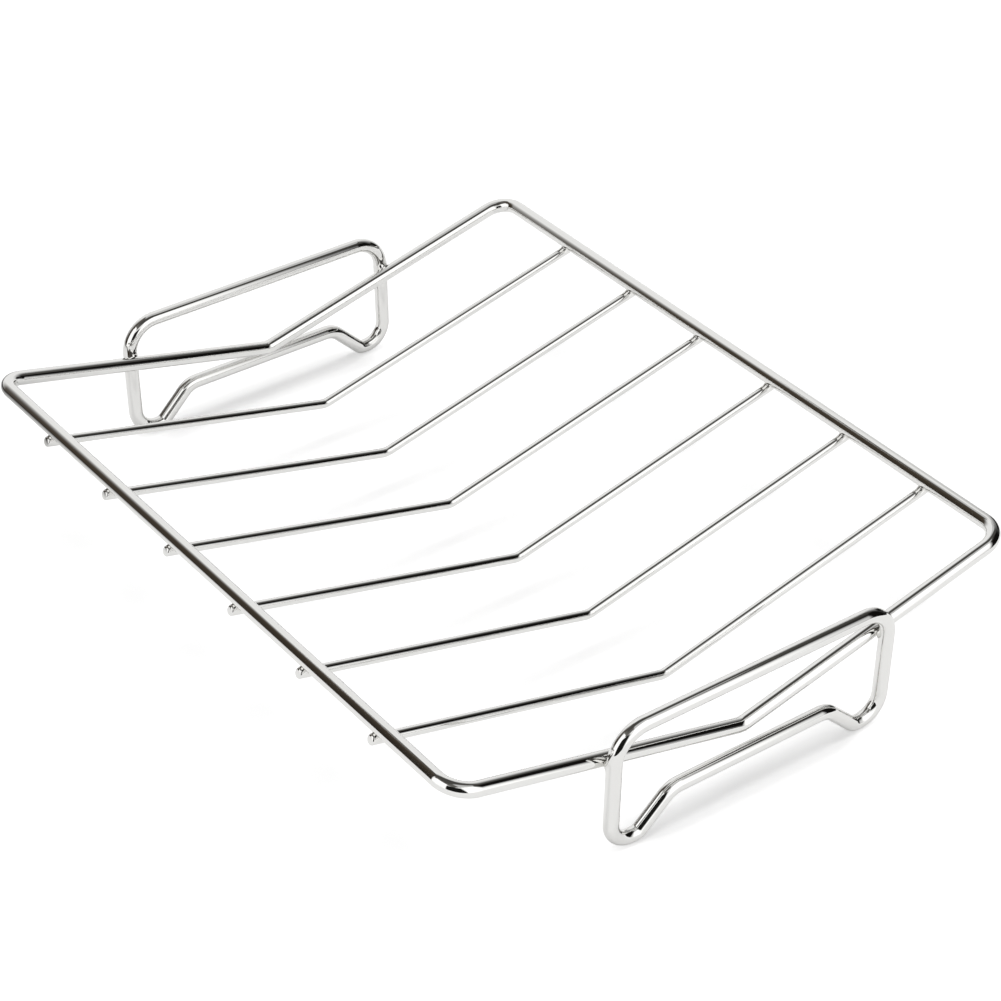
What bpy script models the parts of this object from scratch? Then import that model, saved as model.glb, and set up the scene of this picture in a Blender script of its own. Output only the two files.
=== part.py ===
"""Roasting rack: a shallow V of welded round wire that stands on two upright wire end loops.

Metres, +Z up. X runs along the rack, Y across it, and the origin is on the table under its middle.
The rim is one closed wire, bent to a V at the middle of its two short sides. Thinner V wires lie
under its long sides, and a closed end loop, which is handle and legs in one, is welded outside each
short side. Each weld nugget belongs to the wire that is welded on, and stops a small gap short of
the rim.
"""

import math
from collections import namedtuple

import bmesh
import bpy
from mathutils import Matrix, Vector

MM = 0.001

# Wire stock
FRAME_WIRE_DIAMETER = 6.0 * MM
CROSS_WIRE_DIAMETER = 4.0 * MM

# Rim, measured to the wire's axis
RIM_LENGTH = 320.0 * MM
RIM_WIDTH = 256.0 * MM
RIM_HEIGHT = 55.6 * MM
VALLEY_DEPTH = 31.4 * MM

# Cross wires: how many, how far the outer ones lie from the rim's short sides, and their cut ends
CROSS_WIRE_COUNT = 6
CROSS_WIRE_END_SPACE = 45.0 * MM
CROSS_WIRE_OVERHANG = 2.8 * MM
CUT_END_ROUNDING = 0.7 * MM

# End loops, measured to the wire's axis in the plane of the loop
LOOP_WIDTH = 128.0 * MM
GRIP_DROP = 1.4 * MM
BRIDGE_HEIGHT = 16.8 * MM
RISE_ANGLE = math.radians(44.0)
FOOT_FLAT = 1.1 * MM
LOOP_LEAN = math.radians(1.9)

# Radii of the former at the inside of each bend
RIM_CORNER_BEND = 7.0 * MM
VALLEY_BEND = 6.0 * MM
CROSS_WIRE_BEND = 7.0 * MM
GRIP_BEND = 10.0 * MM
FOOT_BEND = 6.8 * MM
RISE_BEND = 1.0 * MM
BRIDGE_BEND = 7.0 * MM

# Weld nuggets, as half sizes along the welded wire, across it and towards the rim
WELD_GAP = 0.3 * MM
NUGGET_HALF_LENGTH = 2.7 * MM
NUGGET_HALF_WIDTH = 2.2 * MM
NUGGET_HALF_HEIGHT = 1.5 * MM

# Finish
FRAME_STEEL_SHADE = 0.72
FRAME_STEEL_ROUGHNESS = 0.10
CROSS_STEEL_SHADE = 0.70
CROSS_STEEL_ROUGHNESS = 0.12

# Fineness of the facets
FRAME_WIRE_BEVEL_STEPS = 8
CROSS_WIRE_BEVEL_STEPS = 5
BEND_STEP = math.radians(10.0)
END_RINGS = 3
NUGGET_SEGMENTS = 16
NUGGET_RINGS = 10
CLEARANCE_SEGMENTS = 40
MERGE_DISTANCE = 0.001 * MM

# Worked out from the sizes above
FRAME_WIRE_RADIUS = FRAME_WIRE_DIAMETER / 2
CROSS_WIRE_RADIUS = CROSS_WIRE_DIAMETER / 2
HALF_LENGTH = RIM_LENGTH / 2
HALF_WIDTH = RIM_WIDTH / 2
VALLEY_HEIGHT = RIM_HEIGHT - VALLEY_DEPTH
WING_SLOPE = math.atan2(VALLEY_DEPTH, HALF_WIDTH)
CROSS_WIRE_PITCH = (RIM_LENGTH - 2 * CROSS_WIRE_END_SPACE) / (CROSS_WIRE_COUNT - 1)

# The loop's section has a facet, not an edge, on the table, so its axis is a little under a radius up
FRAME_WIRE_SIDES = 4 + 2 * FRAME_WIRE_BEVEL_STEPS
FOOT_AXIS_HEIGHT = FRAME_WIRE_RADIUS * math.cos(math.pi / FRAME_WIRE_SIDES)
FOOT_FACET_TILT = LOOP_LEAN + math.pi / FRAME_WIRE_SIDES

# A weld: middle of its nugget, the welded wire's direction there, the way to the rim, and the two
# ends of the rim's straight run that it meets
Weld = namedtuple("Weld", "centre along towards run_start run_end")


def clear_scene():
    for obj in list(bpy.data.objects):
        bpy.data.objects.remove(obj, do_unlink=True)


def new_collection(name):
    collection = bpy.data.collections.new(name)
    bpy.context.scene.collection.children.link(collection)
    return collection


def polished_steel(name, shade, roughness):
    material = bpy.data.materials.new(name)
    material.use_nodes = True
    surface = material.node_tree.nodes["Principled BSDF"]
    surface.inputs["Base Color"].default_value = (shade, shade, shade, 1.0)
    surface.inputs["Metallic"].default_value = 1.0
    surface.inputs["Roughness"].default_value = roughness
    return material


def mirrored(point):
    """The same point or direction on the other side of the rack's long middle line."""
    return Vector((point.x, -point.y, point.z))


def bend(before, corner, after, radius):
    """Points along the arc that rounds one corner of a wire's centre line."""
    towards_before = (before - corner).normalized()
    towards_after = (after - corner).normalized()
    turn = math.pi - towards_before.angle(towards_after)
    setback = radius * math.tan(turn / 2)
    centre = corner + (towards_before + towards_after).normalized() * (radius / math.cos(turn / 2))
    start = corner + towards_before * setback - centre
    steps = math.ceil(turn / BEND_STEP)
    axis = towards_after.cross(towards_before).normalized()
    return [centre + Matrix.Rotation(turn * i / steps, 3, axis) @ start for i in range(steps + 1)]


def bent_wire(corners, inside_radii, wire_radius):
    """Closed centre line of a bent wire: a straight run between corners, and an arc at each."""
    points = []
    for i, corner in enumerate(corners):
        after = corners[(i + 1) % len(corners)]
        points += bend(corners[i - 1], corner, after, inside_radii[i] + wire_radius)
    return points


def wire_object(name, points, radius, bevel_steps, closed, tilt=0.0, shares=None):
    """Curve that carries a round section along the points, at each one's share of the radius."""
    curve = bpy.data.curves.new(name, "CURVE")
    curve.dimensions = "3D"
    curve.bevel_depth = radius
    curve.bevel_resolution = bevel_steps
    curve.use_fill_caps = not closed
    spline = curve.splines.new("POLY")
    spline.points.add(len(points) - 1)
    spline.use_cyclic_u = closed
    for i, (target, point) in enumerate(zip(spline.points, points)):
        target.co = (*point, 1.0)
        target.radius = shares[i] if shares else 1.0
        target.tilt = tilt
    return bpy.data.objects.new(name, curve)


def mesh_in_world(obj, name):
    """Mesh of an object as its modifiers leave it, in world space, with its caps welded."""
    bpy.context.view_layer.update()
    graph = bpy.context.evaluated_depsgraph_get()
    mesh = bpy.data.meshes.new_from_object(obj.evaluated_get(graph))
    mesh.name = name
    mesh.transform(obj.matrix_world)
    work = bmesh.new()
    work.from_mesh(mesh)
    bmesh.ops.remove_doubles(work, verts=work.verts, dist=MERGE_DISTANCE)
    bmesh.ops.recalc_face_normals(work, faces=work.faces)
    work.to_mesh(mesh)
    work.free()
    return mesh


def cutter_object(name, shape, cutters):
    """Helper object from a bmesh, which is freed."""
    mesh = bpy.data.meshes.new(name)
    shape.to_mesh(mesh)
    shape.free()
    obj = bpy.data.objects.new(name, mesh)
    obj.hide_render = True
    obj.display_type = "WIRE"
    cutters.objects.link(obj)
    return obj


def weld_nugget(name, weld, cutters):
    """Flattened drop of metal between two crossing wires, long in the welded wire's direction."""
    across = weld.towards.cross(weld.along).normalized()
    turned = Matrix((weld.along, across, weld.towards)).transposed().to_4x4()
    sized = Matrix.Diagonal((NUGGET_HALF_LENGTH, NUGGET_HALF_WIDTH, NUGGET_HALF_HEIGHT, 1.0))
    shape = bmesh.new()
    bmesh.ops.create_uvsphere(shape, u_segments=NUGGET_SEGMENTS, v_segments=NUGGET_RINGS, radius=1.0)
    shape.transform(Matrix.Translation(weld.centre) @ turned @ sized)
    return cutter_object(name, shape, cutters)


def rim_clearance(name, weld, cutters):
    """Cylinder around the rim's straight run at a weld, a weld gap larger than the rim's wire."""
    run = weld.run_end - weld.run_start
    radius = FRAME_WIRE_RADIUS + WELD_GAP
    shape = bmesh.new()
    bmesh.ops.create_cone(
        shape,
        cap_ends=True,
        segments=CLEARANCE_SEGMENTS,
        radius1=radius,
        radius2=radius,
        depth=run.length,
    )
    turned = run.to_track_quat("Z", "Y").to_matrix().to_4x4()
    shape.transform(Matrix.Translation((weld.run_start + weld.run_end) / 2) @ turned)
    return cutter_object(name, shape, cutters)


def combine(obj, other, operation):
    modifier = obj.modifiers.new(operation.title(), "BOOLEAN")
    modifier.operation = operation
    modifier.object = other
    modifier.solver = "EXACT"


def welded_mesh(name, curve, welds, rack, cutters):
    """Mesh of a bent wire with a nugget at each weld, all of it cut back to clear the rim."""
    rack.objects.link(curve)
    wire = bpy.data.objects.new(name, mesh_in_world(curve, f"{name}_bent"))
    bpy.data.objects.remove(curve)
    rack.objects.link(wire)
    for number, weld in enumerate(welds, start=1):
        combine(wire, weld_nugget(f"{name}_nugget_{number}", weld, cutters), "UNION")
        combine(wire, rim_clearance(f"{name}_clearance_{number}", weld, cutters), "DIFFERENCE")
    mesh = mesh_in_world(wire, name)
    bpy.data.objects.remove(wire)
    return mesh


def wing_height(y):
    """Height of the rim's axis on the straight slopes of its short sides."""
    return VALLEY_HEIGHT + abs(y) * math.tan(WING_SLOPE)


def rim_points():
    """The rim's centre line, counter-clockwise from above: an upright V, two long sides, a V."""
    right_end = [Vector((HALF_LENGTH, y, wing_height(y))) for y in (-HALF_WIDTH, 0.0, HALF_WIDTH)]
    left_end = [Vector((-point.x, point.y, point.z)) for point in reversed(right_end)]
    inside_radii = [RIM_CORNER_BEND, VALLEY_BEND, RIM_CORNER_BEND] * 2
    return bent_wire(right_end + left_end, inside_radii, FRAME_WIRE_RADIUS)


def add_rim(rack):
    rim = wire_object("rim_wire", rim_points(), FRAME_WIRE_RADIUS, FRAME_WIRE_BEVEL_STEPS, True)
    rim.data.materials.append(
        polished_steel("rim_wire_steel", FRAME_STEEL_SHADE, FRAME_STEEL_ROUGHNESS)
    )
    rack.objects.link(rim)


def rounded_ends(cut_end, run, middle):
    """Centre line between two rounded cut ends, and each point's share of the wire's radius."""
    turns = [math.pi / 2 * i / END_RINGS for i in range(END_RINGS + 1)]
    insets = [CUT_END_ROUNDING * (1.0 - math.cos(turn)) for turn in turns]
    lost = [CUT_END_ROUNDING * (1.0 - math.sin(turn)) for turn in turns]
    left_end = [cut_end + run * inset for inset in insets]
    right_end = [mirrored(point) for point in reversed(left_end)]
    end_shares = [1.0 - part / CROSS_WIRE_RADIUS for part in lost]
    shares = end_shares + [1.0] * len(middle) + end_shares[::-1]
    return left_end + middle + right_end, shares


def cross_wire_mesh(rack, cutters):
    """One cross wire at X = 0, which hangs a weld gap under the rim's long sides."""
    run = Vector((0.0, math.cos(WING_SLOPE), -math.sin(WING_SLOPE)))
    up = Vector((0.0, math.sin(WING_SLOPE), math.cos(WING_SLOPE)))
    drop = FRAME_WIRE_RADIUS + WELD_GAP + CROSS_WIRE_RADIUS
    rim_axis = Vector((0.0, -HALF_WIDTH, RIM_HEIGHT))
    under_rim = rim_axis - up * drop
    cut_end = under_rim - run * CROSS_WIRE_OVERHANG
    valley = Vector((0.0, 0.0, VALLEY_HEIGHT - drop / math.cos(WING_SLOPE)))
    middle = bend(cut_end, valley, mirrored(cut_end), CROSS_WIRE_BEND + CROSS_WIRE_RADIUS)
    points, shares = rounded_ends(cut_end, run, middle)
    curve = wire_object(
        "cross_wire", points, CROSS_WIRE_RADIUS, CROSS_WIRE_BEVEL_STEPS, False, shares=shares
    )
    half_run = Vector((HALF_LENGTH, 0.0, 0.0))
    centre = under_rim + up * (CROSS_WIRE_RADIUS + WELD_GAP / 2)
    left = Weld(centre, run, up, rim_axis - half_run, rim_axis + half_run)
    right = Weld(*[mirrored(part) for part in left])
    return welded_mesh("cross_wire", curve, [left, right], rack, cutters)


def add_cross_wires(rack, cutters):
    mesh = cross_wire_mesh(rack, cutters)
    mesh.materials.append(
        polished_steel("cross_wire_steel", CROSS_STEEL_SHADE, CROSS_STEEL_ROUGHNESS)
    )
    for i in range(CROSS_WIRE_COUNT):
        wire = bpy.data.objects.new(f"cross_wire_{i + 1}", mesh)
        wire.location.x = CROSS_WIRE_END_SPACE - HALF_LENGTH + i * CROSS_WIRE_PITCH
        rack.objects.link(wire)


def loop_points():
    """An end loop's centre line in its own plane, Z measured from the axis of its feet."""
    foot_radius = FOOT_BEND + FRAME_WIRE_RADIUS
    rise_radius = RISE_BEND + FRAME_WIRE_RADIUS
    grip = RIM_HEIGHT - GRIP_DROP - FOOT_AXIS_HEIGHT
    bridge = BRIDGE_HEIGHT - FOOT_AXIS_HEIGHT
    leg = LOOP_WIDTH / 2
    foot_end = leg - foot_radius - FOOT_FLAT - rise_radius * math.tan(RISE_ANGLE / 2)
    bridge_end = foot_end - bridge / math.tan(RISE_ANGLE)
    right_side = [(leg, grip), (leg, 0.0), (foot_end, 0.0), (bridge_end, bridge)]
    left_side = [(-y, z) for y, z in reversed(right_side)]
    corners = [Vector((0.0, y, z)) for y, z in right_side + left_side]
    inside_radii = [GRIP_BEND, FOOT_BEND, RISE_BEND, BRIDGE_BEND]
    return bent_wire(corners, inside_radii + inside_radii[::-1], FRAME_WIRE_RADIUS)


def loop_frame():
    """Place of the loop at +X: leaning outwards, its legs a weld gap from the rim's short side."""
    leg_direction = Vector((math.sin(LOOP_LEAN), 0.0, math.cos(LOOP_LEAN)))
    wing_direction = Vector((0.0, math.cos(WING_SLOPE), math.sin(WING_SLOPE)))
    between = wing_direction.cross(leg_direction).normalized()
    spacing = (FRAME_WIRE_DIAMETER + WELD_GAP) / between.x
    weld_height = wing_height(LOOP_WIDTH / 2) - FOOT_AXIS_HEIGHT
    foot_x = HALF_LENGTH + spacing - weld_height * math.tan(LOOP_LEAN)
    return Matrix.Translation((foot_x, 0.0, FOOT_AXIS_HEIGHT)) @ Matrix.Rotation(LOOP_LEAN, 4, "Y")


def loop_mesh(frame, rack, cutters):
    """One end loop, made in its place at +X and returned in its own frame."""
    curve = wire_object(
        "end_loop",
        loop_points(),
        FRAME_WIRE_RADIUS,
        FRAME_WIRE_BEVEL_STEPS,
        True,
        tilt=FOOT_FACET_TILT,
    )
    curve.matrix_world = frame
    turned = frame.to_3x3()
    leg = -LOOP_WIDTH / 2
    left = Weld(
        Vector((HALF_LENGTH + FRAME_WIRE_RADIUS + WELD_GAP / 2, leg, wing_height(leg))),
        turned @ Vector((0.0, 0.0, 1.0)),
        turned @ Vector((-1.0, 0.0, 0.0)),
        Vector((HALF_LENGTH, 0.0, VALLEY_HEIGHT)),
        Vector((HALF_LENGTH, -HALF_WIDTH, RIM_HEIGHT)),
    )
    right = Weld(*[mirrored(part) for part in left])
    mesh = welded_mesh("end_loop", curve, [left, right], rack, cutters)
    mesh.transform(frame.inverted())
    return mesh


def add_end_loops(rack, cutters):
    frame = loop_frame()
    mesh = loop_mesh(frame, rack, cutters)
    mesh.materials.append(
        polished_steel("end_loop_steel", FRAME_STEEL_SHADE, FRAME_STEEL_ROUGHNESS)
    )
    for name, turn in (("right_end_loop", 0.0), ("left_end_loop", math.pi)):
        loop = bpy.data.objects.new(name, mesh)
        loop.matrix_world = Matrix.Rotation(turn, 4, "Z") @ frame
        rack.objects.link(loop)


def build():
    clear_scene()
    rack = new_collection("roasting_rack")
    cutters = new_collection("cutters")
    add_rim(rack)
    add_cross_wires(rack, cutters)
    add_end_loops(rack, cutters)


build()
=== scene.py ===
"""Roasting rack of bright chrome-plated wire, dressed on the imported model.

Metres, +Z up. X runs along the rack, Y across it, and the origin is on the table under its middle.
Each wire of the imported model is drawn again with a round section, smooth bends, rounded cut ends
and welds that are fused with the rim, at the same sizes. Cards and a soft sun stand for the studio.
"""

import math
from collections import namedtuple

import bmesh
import bpy
from mathutils import Matrix, Vector


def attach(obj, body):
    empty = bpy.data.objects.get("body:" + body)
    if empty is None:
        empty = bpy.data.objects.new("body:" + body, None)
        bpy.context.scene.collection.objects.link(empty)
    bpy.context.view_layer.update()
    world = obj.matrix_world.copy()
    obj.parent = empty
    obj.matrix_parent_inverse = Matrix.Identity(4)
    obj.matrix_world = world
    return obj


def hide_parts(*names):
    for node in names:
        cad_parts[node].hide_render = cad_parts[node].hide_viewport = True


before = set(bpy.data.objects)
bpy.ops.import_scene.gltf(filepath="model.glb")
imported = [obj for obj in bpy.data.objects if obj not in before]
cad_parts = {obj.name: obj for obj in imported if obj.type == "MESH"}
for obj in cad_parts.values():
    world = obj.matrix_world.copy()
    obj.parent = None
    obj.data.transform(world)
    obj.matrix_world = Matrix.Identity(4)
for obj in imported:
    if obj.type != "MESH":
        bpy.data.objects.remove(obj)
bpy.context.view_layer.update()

MM = 0.001

# Wire stock
FRAME_WIRE_RADIUS = 3.0 * MM
CROSS_WIRE_RADIUS = 2.0 * MM

# Rim, measured to the wire's axis
HALF_LENGTH = 160.0 * MM
HALF_WIDTH = 128.0 * MM
RIM_HEIGHT = 55.6 * MM
VALLEY_HEIGHT = 24.2 * MM
WING_SLOPE = math.atan2(RIM_HEIGHT - VALLEY_HEIGHT, HALF_WIDTH)

# Cross wires
CROSS_WIRE_PLACES = [x * MM for x in (-115.0, -69.0, -23.0, 23.0, 69.0, 115.0)]
CROSS_WIRE_OVERHANG = 2.8 * MM
CUT_END_ROUNDING = 0.7 * MM
CUT_END_RINGS = 6
CUT_END_DOME = 0.12 * MM

# Dome of a cut end, from its edge inwards: inset, and the share of the dome's height that it climbs
CUT_END_INSETS = [(0.35 * MM, 0.5), (0.35 * MM, 0.3), (0.3 * MM, 0.2)]

# End loops, in the plane of the loop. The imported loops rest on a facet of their 20-sided wire.
LOOP_HALF_WIDTH = 64.0 * MM
GRIP_HEIGHT = 54.2 * MM
BRIDGE_HEIGHT = 16.8 * MM
RISE_ANGLE = math.radians(44.0)
FOOT_FLAT = 1.1 * MM
LOOP_LEAN = math.radians(1.9)
PACKED_WIRE_SIDES = 20
FOOT_AXIS_HEIGHT = FRAME_WIRE_RADIUS * math.cos(math.pi / PACKED_WIRE_SIDES)

# Radii of the bends at the wire's axis
RIM_CORNER_BEND = 10.0 * MM
VALLEY_BEND = 9.0 * MM
CROSS_WIRE_BEND = 9.0 * MM
GRIP_BEND = 13.0 * MM
FOOT_BEND = 9.8 * MM
RISE_BEND = 4.0 * MM
BRIDGE_BEND = 10.0 * MM

# Welds: the gap that the metal fills, how far it climbs towards the rim, spreads and runs out, and
# how soon its dull skin is at its full on the side of the rim
WELD_GAP = 0.3 * MM
WELD_LIFT = 1.5 * MM
WELD_SPREAD = 0.2 * MM
WELD_REACH = 1.8 * MM
WELD_DULLING = 1.6
LOOP_WELD_SCALE = 0.95
WELD_RING_STEP = 0.3 * MM
WELD_RING_ZONE = 6.6 * MM
WELD_LIMIT = 1.5 * WELD_RING_ZONE

# Fineness of the skins
FRAME_WIRE_SIDES = 48
CROSS_WIRE_SIDES = 40
BEND_RING_STEP = math.radians(3.0)
MERGE_DISTANCE = 0.002 * MM

# Chrome: shade, and tints of clean plating and of the welds
PLATING_SHADE = 0.77
PLATING_TINT = (1.0, 0.995, 0.975)
WELD_TINT = (0.84, 0.82, 0.78)

# Relief of the chrome: drawing lines along the wire, waves left by straightening, grains on welds.
# A scale is the number of features in a metre.
LINE_WIDTH = 0.22 * MM
LINE_LENGTH = 38.0 * MM
LINE_RELIEF = 0.004 * MM
LINE_STRENGTH = 0.5
WAVE_SCALE = 55.0
WAVE_RELIEF = 0.030 * MM
GRAIN_SCALE = 1500.0
GRAIN_RELIEF = 0.03 * MM
GRAIN_STRENGTH = 0.6

# Roughness of the chrome: clean and smudged (the range is where the noise goes from one to the
# other), what a weld adds, and what scuffs under the feet add, which fade in from SCUFF_TOP down
SMUDGE_SCALE = 130.0
SMUDGE_RANGE = (0.35, 0.7)
POLISH_ROUGHNESS = (0.035, 0.075)
WELD_ROUGHNESS = 0.10
SCUFF_ROUGHNESS = 0.45
SCUFF_TOP = 1.4 * MM
SCUFF_FULL = 0.2 * MM

# Table: its glow for the chrome at two places along X, which is painted light growing towards +X
# for the falloff of the studio's light; its glow for the camera away from the feet and at them,
# where the stronger glow is painted light that lifts the feet's contact shadows; and where that
# changes, as distances from FOOT_PLACE, just outside each foot
TABLE_SIDE = 8.0
TABLE_SHADE = 0.80
CHROME_GLOW_PLACES = (-0.25, 0.30)
CHROME_GLOW = (0.14, 0.235)
CAMERA_GLOW_AND_FOOT_LIFT = (0.335, 0.62)
FOOT_PLACE = (0.168, 0.072, 0.0)
FOOT_SHADOW_LIFT_FADE = (0.028, 0.008)

# Daylight: a wide sun from above, and a white world that is dimmer for what it lights
SUN_STRENGTH = 1.62
SUN_WIDTH = math.radians(31.0)
SUN_DIRECTION = (-0.02, 0.0, 1.0)
WORLD_LIGHT = 0.50
WORLD_SEEN = 1.0

# The photograph's viewpoint, from the fit of the wires' axes to the picture
CAMERA_PLACE = (779.798 * MM, -564.030 * MM, 707.251 * MM)
CAMERA_HEADING = 53.70763
CAMERA_DOWNWARD = 35.00201
CAMERA_ROLL = 0.10292
CAMERA_LENS = 106.0746
SENSOR_WIDTH = 36.0

# Studio cards that only the chrome sees. Standing cards have two ends in plan, a bottom and a top;
# lying ones have a middle, a size and a turn. soft is the width of the fading edge at the first
# end, the second end, the bottom and the top; leans is how far each end moves over with height.
StandingCard = namedtuple("StandingCard", "name first second bottom top light soft leans")
LyingCard = namedtuple("LyingCard", "name middle size turn light soft leans")

STANDING_CARDS = [
    StandingCard(
        "right_softbox", (0.94, -0.29), (0.64, 0.64), -0.1, 1.35,
        light=(1.4, 1.4, 1.4), soft=(0.04, 0.25, 0.06, 0.08), leans=(0.0, 0.18),
    ),
    StandingCard(
        "right_dark", (1.04, 0.31), (0.92, 1.2), -0.12, 1.9,
        light=(0.01, 0.0095, 0.009), soft=(0.06, 0.06, 0.06, 0.08), leans=(0.0, 0.0),
    ),
    StandingCard(
        "back_dark", (1.2, 0.65), (-1.05, 1.05), -0.14, 2.34,
        light=(0.006, 0.0055, 0.005), soft=(0.06, 1.27, 0.06, 0.08), leans=(0.0, 0.16),
    ),
    StandingCard(
        "low_back_dark", (0.15, 0.80), (-0.42, 0.90), -0.1, 0.42,
        light=(0.008, 0.0075, 0.007), soft=(0.05, 0.2, 0.05, 0.12), leans=(0.0, 0.0),
    ),
    StandingCard(
        "left_dark", (-0.8, 0.01), (-0.49, -0.76), -0.13, 1.66,
        light=(0.064, 0.051, 0.038), soft=(0.51, 0.04, 0.06, 0.08), leans=(-0.11, -0.42),
    ),
    StandingCard(
        "left_softbox", (-0.38, -0.80), (0.42, -0.89), 0.0, 1.15,
        light=(1.35, 1.35, 1.35), soft=(0.04, 0.05, 0.05, 0.08), leans=(-0.06, -0.04),
    ),
    StandingCard(
        "camera_dark", (0.27, -0.61), (0.57, -0.21), -0.1, 0.49,
        light=(0.011, 0.011, 0.01), soft=(0.05, 0.04, 0.05, 0.05), leans=(0.05, -0.14),
    ),
]

LYING_CARDS = [
    LyingCard(
        "dark_ceiling", (0.04, -0.68, 1.632), (2.26, 1.66), 0.08,
        light=(0.145, 0.14, 0.13), soft=(0.07, 0.09, 0.08, 0.05), leans=(-0.13, -0.14),
    ),
    LyingCard(
        "grey_ceiling", (0.23, 0.33, 1.353), (2.03, 1.26), -0.2,
        light=(0.63, 0.63, 0.63), soft=(0.02, 0.12, 0.13, 0.23), leans=(0.0, 0.0),
    ),
    LyingCard(
        "left_floor_dark", (-0.59, -0.31, 0.042), (0.89, 0.86), 0.77,
        light=(0.038, 0.034, 0.03), soft=(0.1, 0.13, 0.21, 0.12), leans=(0.0, -0.27),
    ),
    LyingCard(
        "right_floor_dark", (0.6, 0.96, 0.012), (1.22, 1.09), -0.02,
        light=(0.016, 0.015, 0.014), soft=(0.1, 0.1, 0.11, 0.1), leans=(0.01, 0.0),
    ),
    LyingCard(
        "overhead_bar", (0.05, 0.16, 0.567), (0.37, 1.09), -0.1,
        light=(0.075, 0.072, 0.067), soft=(0.05, 0.07, 0.14, 0.09), leans=(0.22, -0.12),
    ),
]

# Cards whose light changes along them (X) or with height (Y): from where, to where, last light
GRADED_CARDS = {
    "left_dark": ("X", 0.15, 0.51, (0.030, 0.0245, 0.019)),
    "back_dark": ("Y", -0.28, 0.34, (0.098, 0.094, 0.086)),
}

# One rounded corner of a wire's axis, and one weld: its place, the wire's direction there and the
# way to the rim
Bend = namedtuple("Bend", "start end centre axis turn")
Weld = namedtuple("Weld", "place along towards")


def mirrored(point):
    """The same point or direction on the other side of the rack's long middle line."""
    return Vector((point.x, -point.y, point.z))


def wire_bend(before, corner, after, radius):
    """The arc that rounds one corner of a wire's axis."""
    towards_before = (before - corner).normalized()
    towards_after = (after - corner).normalized()
    turn = math.pi - towards_before.angle(towards_after)
    setback = radius * math.tan(turn / 2)
    middle = (towards_before + towards_after).normalized()
    centre = corner + middle * (radius / math.cos(turn / 2))
    axis = towards_after.cross(towards_before).normalized()
    return Bend(
        corner + towards_before * setback, corner + towards_after * setback, centre, axis, turn
    )


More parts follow.
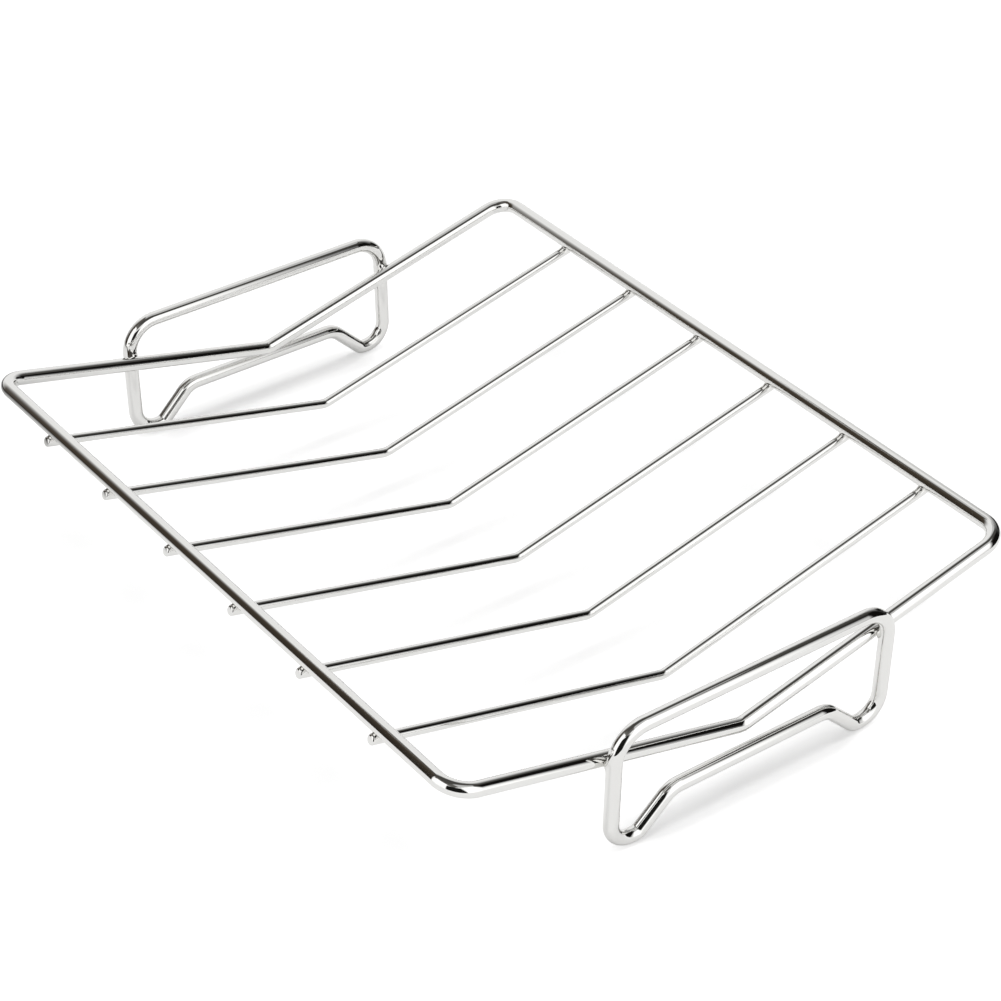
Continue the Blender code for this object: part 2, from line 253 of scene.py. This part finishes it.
class WireSkin:
    """Skin of one wire, drawn ring by ring along the wire's axis."""

    def __init__(self, start, along, radius, sides, first_share=1.0):
        self.shape = bmesh.new()
        self.radius = radius
        self.place = start.copy()
        self.length = 0.0
        for name in ("length_at", "around_at", "worked"):
            self.shape.verts.layers.float.new(name)
        self.length_at, self.around_at, self.worked = self.shape.verts.layers.float.values()
        turned = along.to_track_quat("Z", "Y").to_matrix().to_4x4()
        made = bmesh.ops.create_circle(
            self.shape,
            cap_ends=False,
            segments=sides,
            radius=radius * first_share,
            matrix=Matrix.Translation(start) @ turned,
        )
        self.ring = made["verts"]
        self.ring_edges = list({edge for vert in self.ring for edge in vert.link_edges})
        for number, vert in enumerate(self.ring):
            vert[self.around_at] = number / sides

    def add_ring(self, move, length):
        """Extrudes the last ring, moves the new one and notes how far along the wire it is."""
        made = bmesh.ops.extrude_edge_only(self.shape, edges=self.ring_edges)["geom"]
        self.ring = [item for item in made if isinstance(item, bmesh.types.BMVert)]
        fresh = set(self.ring)
        self.ring_edges = [
            item
            for item in made
            if isinstance(item, bmesh.types.BMEdge) and fresh.issuperset(item.verts)
        ]
        bmesh.ops.transform(self.shape, matrix=move, verts=self.ring)
        self.place = move @ self.place
        self.length += length
        for vert in self.ring:
            vert[self.length_at] = self.length

    def run_to(self, end, welds=()):
        """A straight run, with close rings where a weld lies on it."""
        run = end - self.place
        stops = []
        for weld in welds:
            middle = (weld.place - self.place).dot(run.normalized())
            if 0.0 < middle < run.length:
                count = round(2 * WELD_RING_ZONE / WELD_RING_STEP)
                stops += [middle - WELD_RING_ZONE + i * WELD_RING_STEP for i in range(count + 1)]
        stops = [stop for stop in sorted(stops) if 0.0 < stop < run.length] + [run.length]
        start, done = self.place.copy(), 0.0
        for stop in stops:
            self.add_ring(Matrix.Translation(run.normalized() * (stop - done)), stop - done)
            done = stop
        self.place = start + run

    def bend_through(self, bend):
        """Rings along one bend, each turned about the bend's axis."""
        steps = math.ceil(bend.turn / BEND_RING_STEP)
        radius = (bend.start - bend.centre).length
        there, back = Matrix.Translation(bend.centre), Matrix.Translation(-bend.centre)
        move = there @ Matrix.Rotation(bend.turn / steps, 4, bend.axis) @ back
        for _ in range(steps):
            self.add_ring(move, radius * bend.turn / steps)
        self.place = bend.end.copy()

    def sized_ring(self, step, share, old_share):
        """A ring a step further on, at another share of the wire's radius."""
        there, back = Matrix.Translation(self.place + step), Matrix.Translation(-self.place)
        self.add_ring(there @ Matrix.Scale(share / old_share, 4) @ back, step.length)

    def raise_weld(self, weld, scale):
        """Draws the skin up into the rim at a weld, in one smooth fillet."""
        across = weld.towards.cross(weld.along).normalized()
        reach = WELD_REACH * scale
        for vert in self.shape.verts:
            offset = vert.co - weld.place
            if offset.length > WELD_LIMIT:
                continue
            share = math.exp(-((offset.dot(weld.along) / reach) ** 2))
            facing = max(0.0, offset.dot(weld.towards) / self.radius)
            aside = offset.dot(across) / self.radius
            vert.co += weld.towards * (WELD_LIFT * scale * share * facing)
            vert.co += across * (WELD_SPREAD * scale * share * facing * aside)
            dulled = share * min(1.0, WELD_DULLING * facing)
            vert[self.worked] = max(vert[self.worked], dulled)

    def map_surface(self):
        """UV map of the wire: distance along it, and share of the way around it."""
        wire_map = self.shape.loops.layers.uv.new("wire")
        length_at = self.shape.verts.layers.float["length_at"]
        around_at = self.shape.verts.layers.float["around_at"]
        for face in self.shape.faces:
            shares = [loop.vert[around_at] for loop in face.loops]
            over_seam = max(shares) - min(shares) > 0.5
            for loop, share in zip(face.loops, shares):
                loop[wire_map].uv = (loop.vert[length_at], share + (over_seam and share < 0.5))

    def finished(self, name):
        """Mesh with its seams merged, its normals outwards and its shading smooth."""
        self.map_surface()
        bmesh.ops.remove_doubles(self.shape, verts=self.shape.verts, dist=MERGE_DISTANCE)
        bmesh.ops.recalc_face_normals(self.shape, faces=self.shape.faces)
        for face in self.shape.faces:
            face.smooth = True
        mesh = bpy.data.meshes.new(name)
        self.shape.to_mesh(mesh)
        self.shape.free()
        for spare in ("length_at", "around_at"):
            mesh.attributes.remove(mesh.attributes[spare])
        return mesh


def closed_wire(corners, radii, radius, sides, welds=()):
    """Skin of a closed bent wire, which starts in the middle of the run before the first corner."""
    bends = [
        wire_bend(corners[i - 1], corner, corners[(i + 1) % len(corners)], radii[i])
        for i, corner in enumerate(corners)
    ]
    start = (bends[-1].end + bends[0].start) / 2
    skin = WireSkin(start, bends[0].start - bends[-1].end, radius, sides)
    for bend in bends:
        skin.run_to(bend.start, welds)
        skin.bend_through(bend)
    skin.run_to(start, welds)
    return skin


def wing_height(y):
    """Height of the rim's axis on the straight slopes of its short sides."""
    return VALLEY_HEIGHT + abs(y) * math.tan(WING_SLOPE)


def rim_mesh():
    """The closed rim, its short sides bent to a V in the middle."""
    right_end = [Vector((HALF_LENGTH, y, wing_height(y))) for y in (-HALF_WIDTH, 0.0, HALF_WIDTH)]
    left_end = [Vector((-point.x, point.y, point.z)) for point in reversed(right_end)]
    radii = [RIM_CORNER_BEND, VALLEY_BEND, RIM_CORNER_BEND] * 2
    skin = closed_wire(right_end + left_end, radii, FRAME_WIRE_RADIUS, FRAME_WIRE_SIDES)
    return skin.finished("rim_wire_skin")


def cross_wire_mesh(x):
    """One cross wire, welded under the rim's long sides, with a rounded cut at both ends."""
    run = Vector((0.0, math.cos(WING_SLOPE), -math.sin(WING_SLOPE)))
    up = Vector((0.0, math.sin(WING_SLOPE), math.cos(WING_SLOPE)))
    drop = FRAME_WIRE_RADIUS + WELD_GAP + CROSS_WIRE_RADIUS
    under_rim = Vector((x, -HALF_WIDTH, RIM_HEIGHT)) - up * drop
    cut_end = under_rim - run * CROSS_WIRE_OVERHANG
    valley = Vector((x, 0.0, VALLEY_HEIGHT - drop / math.cos(WING_SLOPE)))
    bend = wire_bend(cut_end, valley, mirrored(cut_end), CROSS_WIRE_BEND)
    welds = [
        Weld(under_rim, run, up),
        Weld(mirrored(under_rim), mirrored(-run), mirrored(up)),
    ]
    turns = [math.pi / 2 * i / CUT_END_RINGS for i in range(CUT_END_RINGS + 1)]
    insets = [CUT_END_ROUNDING * (1.0 - math.cos(turn)) for turn in turns]
    shares = [
        1.0 - CUT_END_ROUNDING * (1.0 - math.sin(turn)) / CROSS_WIRE_RADIUS for turn in turns
    ]
    skin = WireSkin(cut_end, run, CROSS_WIRE_RADIUS, CROSS_WIRE_SIDES, shares[0])
    for i in range(1, CUT_END_RINGS + 1):
        skin.sized_ring(run * (insets[i] - insets[i - 1]), shares[i], shares[i - 1])
    skin.run_to(bend.start, welds)
    skin.bend_through(bend)
    away = mirrored(-run)
    skin.run_to(mirrored(cut_end) - away * CUT_END_ROUNDING, welds)
    for i in range(CUT_END_RINGS, 0, -1):
        skin.sized_ring(away * (insets[i] - insets[i - 1]), shares[i - 1], shares[i])
    dome_cut_ends(skin)
    for weld in welds:
        skin.raise_weld(weld, 1.0)
    return skin.finished(f"cross_wire_skin_{round(x / MM)}")


def dome_cut_ends(skin):
    """Closes both ends of a cross wire with a slightly domed face."""
    open_edges = [edge for edge in skin.shape.edges if edge.is_boundary]
    caps = bmesh.ops.holes_fill(skin.shape, edges=open_edges, sides=0)["faces"]
    bmesh.ops.recalc_face_normals(skin.shape, faces=skin.shape.faces)
    for inset, climb in CUT_END_INSETS:
        bmesh.ops.inset_region(
            skin.shape,
            faces=caps,
            thickness=inset,
            depth=climb * CUT_END_DOME,
            use_even_offset=True,
        )
    bmesh.ops.poke(skin.shape, faces=caps)


def loop_frame():
    """Place of the loop at +X: leaning outwards, its legs a weld gap from the rim's short side."""
    leg_direction = Vector((math.sin(LOOP_LEAN), 0.0, math.cos(LOOP_LEAN)))
    wing_direction = Vector((0.0, math.cos(WING_SLOPE), math.sin(WING_SLOPE)))
    between = wing_direction.cross(leg_direction).normalized()
    spacing = (2 * FRAME_WIRE_RADIUS + WELD_GAP) / between.x
    weld_height = wing_height(LOOP_HALF_WIDTH) - FOOT_AXIS_HEIGHT
    foot_x = HALF_LENGTH + spacing - weld_height * math.tan(LOOP_LEAN)
    return Matrix.Translation((foot_x, 0.0, FOOT_AXIS_HEIGHT)) @ Matrix.Rotation(LOOP_LEAN, 4, "Y")


def loop_corners(placed):
    """Corners of the loop's axis: grip, leg, foot, rise and bridge, then the same mirrored."""
    grip = GRIP_HEIGHT - FOOT_AXIS_HEIGHT
    bridge = BRIDGE_HEIGHT - FOOT_AXIS_HEIGHT
    foot_end = LOOP_HALF_WIDTH - FOOT_BEND - FOOT_FLAT - RISE_BEND * math.tan(RISE_ANGLE / 2)
    bridge_end = foot_end - bridge / math.tan(RISE_ANGLE)
    side = [(LOOP_HALF_WIDTH, grip), (LOOP_HALF_WIDTH, 0.0), (foot_end, 0.0), (bridge_end, bridge)]
    other = [(-y, z) for y, z in reversed(side)]
    return [placed @ Vector((0.0, y, z)) for y, z in side + other]


def loop_mesh(name, turn):
    """One end loop in its place, turned half round for the left one."""
    placed = Matrix.Rotation(turn, 4, "Z") @ loop_frame()
    corners = loop_corners(placed)
    radii = [GRIP_BEND, FOOT_BEND, RISE_BEND, BRIDGE_BEND]
    along = placed.to_3x3() @ Vector((0.0, 0.0, 1.0))
    towards = placed.to_3x3() @ Vector((-1.0, 0.0, 0.0))
    weld_height = wing_height(LOOP_HALF_WIDTH) - FOOT_AXIS_HEIGHT
    welds = [
        Weld(placed @ Vector((0.0, y, weld_height / math.cos(LOOP_LEAN))), along, towards)
        for y in (-LOOP_HALF_WIDTH, LOOP_HALF_WIDTH)
    ]
    skin = closed_wire(corners, radii + radii[::-1], FRAME_WIRE_RADIUS, FRAME_WIRE_SIDES, welds)
    for weld in welds:
        skin.raise_weld(weld, LOOP_WELD_SCALE)
    for vert in skin.shape.verts:
        vert.co.z = max(vert.co.z, 0.0)
    return skin.finished(name)


def add_node(tree, kind, inputs=None, **settings):
    """A shader node with its settings, and each input set to a value or linked to a socket."""
    made = tree.nodes.new(kind)
    for name, value in settings.items():
        setattr(made, name, value)
    for name, value in (inputs or {}).items():
        if isinstance(value, bpy.types.NodeSocket):
            tree.links.new(value, made.inputs[name])
        else:
            made.inputs[name].default_value = value
    return made


def add_math(tree, operation, first, second=0.0, clamp=False):
    """Result of one sum, of values or sockets."""
    inputs = {0: first, 1: second}
    return add_node(tree, "ShaderNodeMath", inputs, operation=operation, use_clamp=clamp).outputs[0]


def add_noise(tree, place, scale, detail, roughness=0.5):
    """Even noise between 0 and 1."""
    inputs = {"Vector": place, "Scale": scale, "Detail": detail, "Roughness": roughness}
    return add_node(tree, "ShaderNodeTexNoise", inputs).outputs["Fac"]


def ranged(tree, value, start, end, low=0.0, high=1.0, smooth=False):
    """A value carried from the range start to end over to low to high, and held beyond it."""
    inputs = {"Value": value, "From Min": start, "From Max": end, "To Min": low, "To Max": high}
    way = "SMOOTHSTEP" if smooth else "LINEAR"
    return add_node(tree, "ShaderNodeMapRange", inputs, interpolation_type=way).outputs["Result"]


def relief(tree, height, distance, strength=1.0, normal=None):
    """A bumped normal, on top of another one if it is given."""
    inputs = {"Height": height, "Distance": distance, "Strength": strength}
    if normal is not None:
        inputs["Normal"] = normal
    return add_node(tree, "ShaderNodeBump", inputs).outputs[0]


def mixed_colour(tree, share, first, second):
    """A colour between two, by a share that a node gives."""
    mix = add_node(tree, "ShaderNodeMix", {0: share, 6: first, 7: second}, data_type="RGBA")
    return mix.outputs[2]


def mixed_shader(tree, share, first, second):
    """A shader between two, by a share that a node gives."""
    return add_node(tree, "ShaderNodeMixShader", {0: share, 1: first, 2: second}).outputs[0]


def split_place(tree, place):
    """The three parts of a place."""
    return add_node(tree, "ShaderNodeSeparateXYZ", {"Vector": place}).outputs


def new_material(name):
    material = bpy.data.materials.new(name)
    material.use_nodes = True
    return material


def plated_wire(name, radius):
    """Bright chrome on drawn wire: faint drawing lines, hand-straightened waves, duller welds."""
    material = new_material(name)
    tree = material.node_tree
    surface = tree.nodes["Principled BSDF"]
    surface.inputs["Metallic"].default_value = 1.0

    wire_map = add_node(tree, "ShaderNodeUVMap", uv_map="wire").outputs["UV"]
    along, around, _ = split_place(tree, wire_map)
    turn = add_math(tree, "MULTIPLY", around, 2 * math.pi)
    line_place = add_node(
        tree,
        "ShaderNodeCombineXYZ",
        {
            "X": add_math(tree, "DIVIDE", along, LINE_LENGTH),
            "Y": add_math(tree, "MULTIPLY", add_math(tree, "COSINE", turn), radius / LINE_WIDTH),
            "Z": add_math(tree, "MULTIPLY", add_math(tree, "SINE", turn), radius / LINE_WIDTH),
        },
    ).outputs[0]
    lines = add_noise(tree, line_place, 1.0, 2.0, 0.55)

    place = add_node(tree, "ShaderNodeTexCoord").outputs["Object"]
    waves = add_noise(tree, place, WAVE_SCALE, 1.0)
    smudges = add_noise(tree, place, SMUDGE_SCALE, 4.0)
    grains = add_noise(tree, place, GRAIN_SCALE, 2.0)
    worked = add_node(tree, "ShaderNodeAttribute", attribute_name="worked").outputs["Fac"]
    scuffed = ranged(tree, split_place(tree, place)["Z"], SCUFF_TOP, SCUFF_FULL)

    polish = ranged(tree, smudges, *SMUDGE_RANGE, *POLISH_ROUGHNESS)
    dulled = add_math(tree, "MULTIPLY", worked, WELD_ROUGHNESS)
    scuffs = add_math(tree, "MULTIPLY", grains, SCUFF_ROUGHNESS)
    scratched = add_math(tree, "MULTIPLY", scuffed, scuffs)
    rough = add_math(tree, "ADD", add_math(tree, "ADD", polish, dulled), scratched)
    tree.links.new(rough, surface.inputs["Roughness"])

    bright = (*(PLATING_SHADE * part for part in PLATING_TINT), 1.0)
    dull = (*(PLATING_SHADE * part for part in WELD_TINT), 1.0)
    tone = mixed_colour(tree, add_math(tree, "MULTIPLY", worked, smudges), bright, dull)
    tree.links.new(tone, surface.inputs["Base Color"])

    waved = relief(tree, waves, WAVE_RELIEF)
    lined = relief(tree, lines, LINE_RELIEF, LINE_STRENGTH, waved)
    weld_grains = add_math(tree, "MULTIPLY", worked, grains)
    grained = relief(tree, weld_grains, GRAIN_RELIEF, GRAIN_STRENGTH, lined)
    tree.links.new(grained, surface.inputs["Normal"])
    return material


def add_object(name, data):
    made = bpy.data.objects.new(name, data)
    bpy.context.scene.collection.objects.link(made)
    return made


def add_piece(name, mesh, material, node):
    """A piece at the origin that rides on the rack and stands for one node of the model."""
    mesh.materials.append(material)
    piece = add_object(name, mesh)
    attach(piece, "root")
    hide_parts(node)


def dress_rack():
    """The nine wires in chrome."""
    frame_chrome = plated_wire("frame_wire_chrome", FRAME_WIRE_RADIUS)
    cross_chrome = plated_wire("cross_wire_chrome", CROSS_WIRE_RADIUS)
    add_piece("plated_rim", rim_mesh(), frame_chrome, "rim_wire")
    for number, x in enumerate(CROSS_WIRE_PLACES, start=1):
        node = f"cross_wire_{number}"
        add_piece(f"plated_{node}", cross_wire_mesh(x), cross_chrome, node)
    for side, turn in (("right", 0.0), ("left", math.pi)):
        node = f"{side}_end_loop"
        skin = loop_mesh(f"{node}_skin", turn)
        add_piece(f"plated_{node}", skin, frame_chrome, node)


def sheet_mesh(name, width, height):
    """A flat rectangle around the origin, in the XY plane."""
    shape = bmesh.new()
    bmesh.ops.create_grid(shape, x_segments=1, y_segments=1, size=0.5)
    bmesh.ops.scale(shape, vec=(width, height, 1.0), verts=shape.verts)
    mesh = bpy.data.meshes.new(name)
    shape.to_mesh(mesh)
    shape.free()
    return mesh


def card_light(card, width, height):
    """Light on a card whose edges fade out and may lean."""
    material = new_material(card.name)
    tree = material.node_tree
    tree.nodes.clear()
    place = add_node(tree, "ShaderNodeTexCoord").outputs["Object"]
    parts = split_place(tree, place)
    along, up = parts["X"], parts["Y"]
    first_lean, second_lean = (add_math(tree, "MULTIPLY", up, lean) for lean in card.leans)
    from_first = add_math(tree, "SUBTRACT", along, first_lean)
    from_second = add_math(tree, "SUBTRACT", second_lean, along)
    distances = (
        add_math(tree, "ADD", from_first, width / 2),
        add_math(tree, "ADD", from_second, width / 2),
        add_math(tree, "ADD", up, height / 2),
        add_math(tree, "SUBTRACT", height / 2, up),
    )
    cover = 1.0
    for distance, soft_width in zip(distances, card.soft):
        edge = ranged(tree, distance, 0.0, soft_width, smooth=True)
        cover = add_math(tree, "MULTIPLY", cover, edge)
    clear = add_node(tree, "ShaderNodeBsdfTransparent").outputs[0]
    colour = (*card.light, 1.0)
    if card.name in GRADED_CARDS:
        axis, start, end, last_light = GRADED_CARDS[card.name]
        share = ranged(tree, parts[axis], start, end)
        colour = mixed_colour(tree, share, colour, (*last_light, 1.0))
    glow = add_node(tree, "ShaderNodeEmission", {"Color": colour, "Strength": 1.0}).outputs[0]
    mixed = mixed_shader(tree, cover, clear, glow)
    add_node(tree, "ShaderNodeOutputMaterial", {"Surface": mixed})
    return material


def add_card(card, place, width, height):
    """A card in the XY plane of its place, as wide as its leaning ends reach."""
    reach = width + 2 * height * max(abs(lean) for lean in card.leans)
    mesh = sheet_mesh(card.name, reach, height)
    mesh.materials.append(card_light(card, width, height))
    board = add_object(card.name, mesh)
    board.matrix_world = place
    board.visible_camera = False
    board.visible_diffuse = False
    board.visible_shadow = False
    board.visible_transmission = False


def add_cards():
    """All studio cards: standing ones upright between their ends, lying ones level."""
    for card in STANDING_CARDS:
        first, second = Vector((*card.first, 0.0)), Vector((*card.second, 0.0))
        run = second - first
        across, up = run.normalized(), Vector((0.0, 0.0, 1.0))
        turned = Matrix((across, up, across.cross(up))).transposed().to_4x4()
        middle = first + run / 2 + up * ((card.bottom + card.top) / 2)
        place = Matrix.Translation(middle) @ turned
        add_card(card, place, run.length, card.top - card.bottom)
    for card in LYING_CARDS:
        place = Matrix.Translation(card.middle) @ Matrix.Rotation(card.turn, 4, "Z")
        add_card(card, place, *card.size)


def seen_by_camera_or_chrome(tree):
    """1 for rays from the camera, off metal or through glass, and 0 for those that light things."""
    path = add_node(tree, "ShaderNodeLightPath").outputs
    both = add_math(tree, "ADD", path["Is Camera Ray"], path["Is Glossy Ray"])
    return add_math(tree, "ADD", both, path["Is Transmission Ray"], clamp=True)


def table_glow(tree):
    """Strength of the table's white: one for the chrome, with painted light growing towards +X, and
    another for the camera, with painted light round the feet that lifts their contact shadows.
    """
    place = add_node(tree, "ShaderNodeTexCoord").outputs["Object"]
    # Painted light: the table's glow for the chrome grows towards +X, for the falloff of the
    # studio's light
    chrome_glow_painted_falloff = ranged(tree, split_place(tree, place)["X"], *CHROME_GLOW_PLACES, *CHROME_GLOW)
    quarter = add_node(
        tree, "ShaderNodeVectorMath", {0: place}, operation="ABSOLUTE"
    ).outputs["Vector"]
    from_foot = add_node(
        tree, "ShaderNodeVectorMath", {0: quarter, 1: FOOT_PLACE}, operation="DISTANCE"
    ).outputs["Value"]
    # Painted light: the camera sees the table glow more round the feet, which lifts their contact
    # shadows
    camera_glow_lifting_foot_shadows = ranged(tree, from_foot, *FOOT_SHADOW_LIFT_FADE, *CAMERA_GLOW_AND_FOOT_LIFT, smooth=True)
    from_camera = add_node(tree, "ShaderNodeLightPath").outputs["Is Camera Ray"]
    return ranged(tree, from_camera, 0.0, 1.0, chrome_glow_painted_falloff, camera_glow_lifting_foot_shadows)


def add_floor():
    """White table that keeps the rack's soft shadow, but for painted light round the feet that
    lifts their contact shadows, and is seen only from above.
    """
    material = new_material("white_table")
    tree = material.node_tree
    tree.nodes.clear()
    shade = (TABLE_SHADE, TABLE_SHADE, TABLE_SHADE, 1.0)
    paint = add_node(tree, "ShaderNodeBsdfDiffuse", {"Color": shade}).outputs[0]
    white = {"Color": (1.0, 1.0, 1.0, 1.0), "Strength": table_glow(tree)}
    glow = add_node(tree, "ShaderNodeEmission", white).outputs[0]
    bright = add_node(tree, "ShaderNodeAddShader", {0: paint, 1: glow}).outputs[0]
    top = mixed_shader(tree, seen_by_camera_or_chrome(tree), paint, bright)
    below = add_node(tree, "ShaderNodeNewGeometry").outputs["Backfacing"]
    clear = add_node(tree, "ShaderNodeBsdfTransparent").outputs[0]
    sided = mixed_shader(tree, below, top, clear)
    add_node(tree, "ShaderNodeOutputMaterial", {"Surface": sided})
    mesh = sheet_mesh("table", TABLE_SIDE, TABLE_SIDE)
    mesh.materials.append(material)
    table = add_object("table", mesh)


def light_studio():
    """Soft sun, white world and the cards."""
    sun = bpy.data.lights.new("soft_sun", "SUN")
    sun.energy = SUN_STRENGTH
    sun.angle = SUN_WIDTH
    lamp = add_object("soft_sun", sun)
    lamp.rotation_euler = Vector(SUN_DIRECTION).to_track_quat("Z", "Y").to_euler()
    lamp.visible_glossy = False

    world = bpy.data.worlds.new("white_studio")
    world.use_nodes = True
    tree = world.node_tree
    tree.nodes.clear()
    strength = ranged(tree, seen_by_camera_or_chrome(tree), 0.0, 1.0, WORLD_LIGHT, WORLD_SEEN)
    white = {"Color": (1.0, 1.0, 1.0, 1.0), "Strength": strength}
    sky = add_node(tree, "ShaderNodeBackground", white).outputs[0]
    add_node(tree, "ShaderNodeOutputWorld", {"Surface": sky})
    bpy.context.scene.world = world
    add_cards()


def add_camera():
    """Camera at the photograph's viewpoint."""
    lens = bpy.data.cameras.new("product_camera")
    lens.sensor_width = SENSOR_WIDTH
    lens.lens = CAMERA_LENS
    lens.clip_start = 0.01
    lens.clip_end = 50.0
    camera = add_object("product_camera", lens)
    camera.matrix_world = (
        Matrix.Translation(CAMERA_PLACE)
        @ Matrix.Rotation(math.radians(CAMERA_HEADING), 4, "Z")
        @ Matrix.Rotation(math.radians(90.0 - CAMERA_DOWNWARD), 4, "X")
        @ Matrix.Rotation(math.radians(CAMERA_ROLL), 4, "Z")
    )
    bpy.context.scene.camera = camera


dress_rack()
add_floor()
light_studio()
add_camera()
bpy.context.scene.view_settings.view_transform = "Standard"
